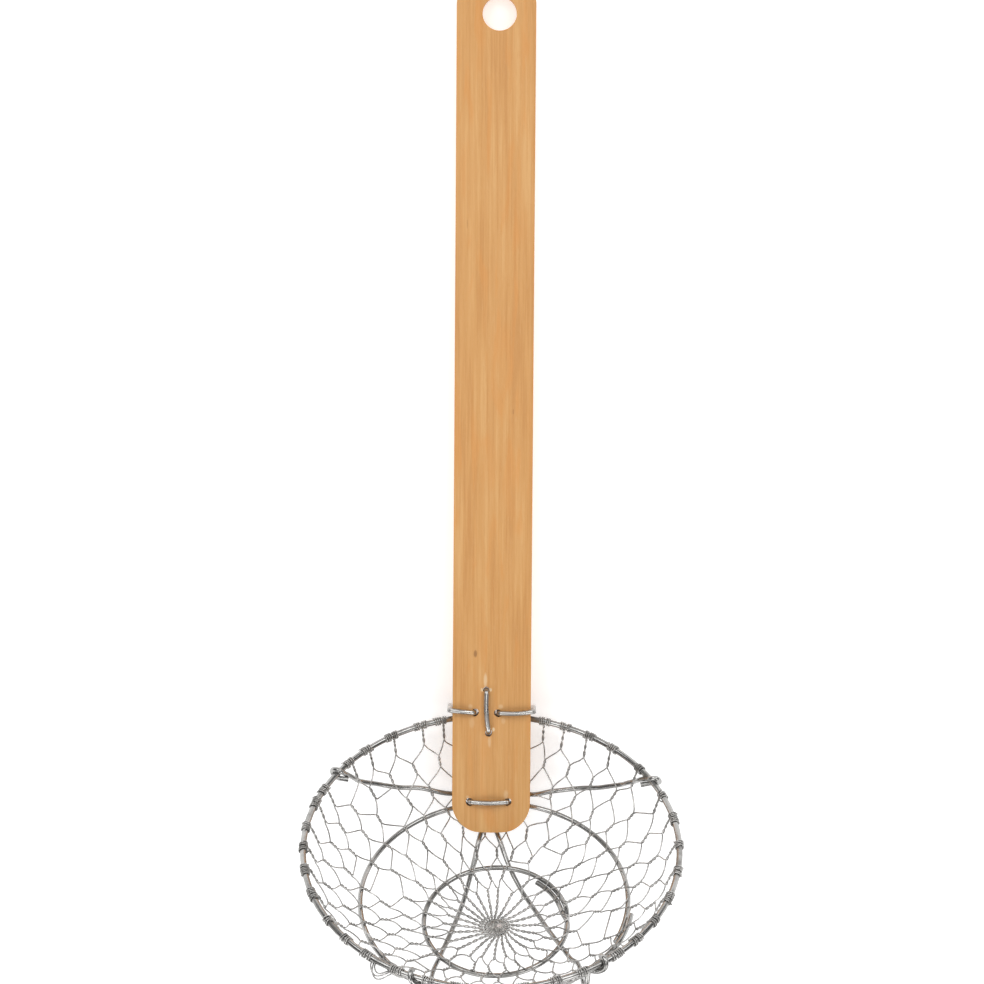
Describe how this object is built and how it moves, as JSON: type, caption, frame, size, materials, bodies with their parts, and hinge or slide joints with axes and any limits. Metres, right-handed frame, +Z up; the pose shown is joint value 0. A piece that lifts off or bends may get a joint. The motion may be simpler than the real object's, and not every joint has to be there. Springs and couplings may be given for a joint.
{
  "type": "wire mesh strainer with wooden handle",
  "caption": "Shallow bowl of hexagonal wire netting on a round wire frame, lashed with wire to a long flat bamboo handle with a hanging hole.",
  "frame": {"origin": "centre of the bounding box's underside, on the table that the strainer lies on with its back down", "axes": "+Y along the handle from the bowl to the hanging hole, +Z up, which is the side that the bowl opens to, +X to the right when looking along +Y"},
  "size_m": [0.1546, 0.4028, 0.1364],
  "materials": {
    "bamboo": "smooth planed bamboo, lightly lacquered",
    "frame_steel": "drawn steel wire, satin",
    "net_steel": "thin twisted steel wire, satin",
    "lashing_steel": "bright drawn steel wire"
  },
  "bodies": {
    "root": {"bamboo_handle": "bamboo", "rim_ring": "frame_steel", "middle_ring": "frame_steel", "base_ring": "frame_steel", "wire_net": "net_steel", "brace_wire_left": "frame_steel", "brace_wire_right": "frame_steel", "upper_lashing_left": "lashing_steel", "upper_lashing_right": "lashing_steel", "upper_lashing_middle": "lashing_steel", "lower_lashing": "lashing_steel"}
  },
  "joints": []
}
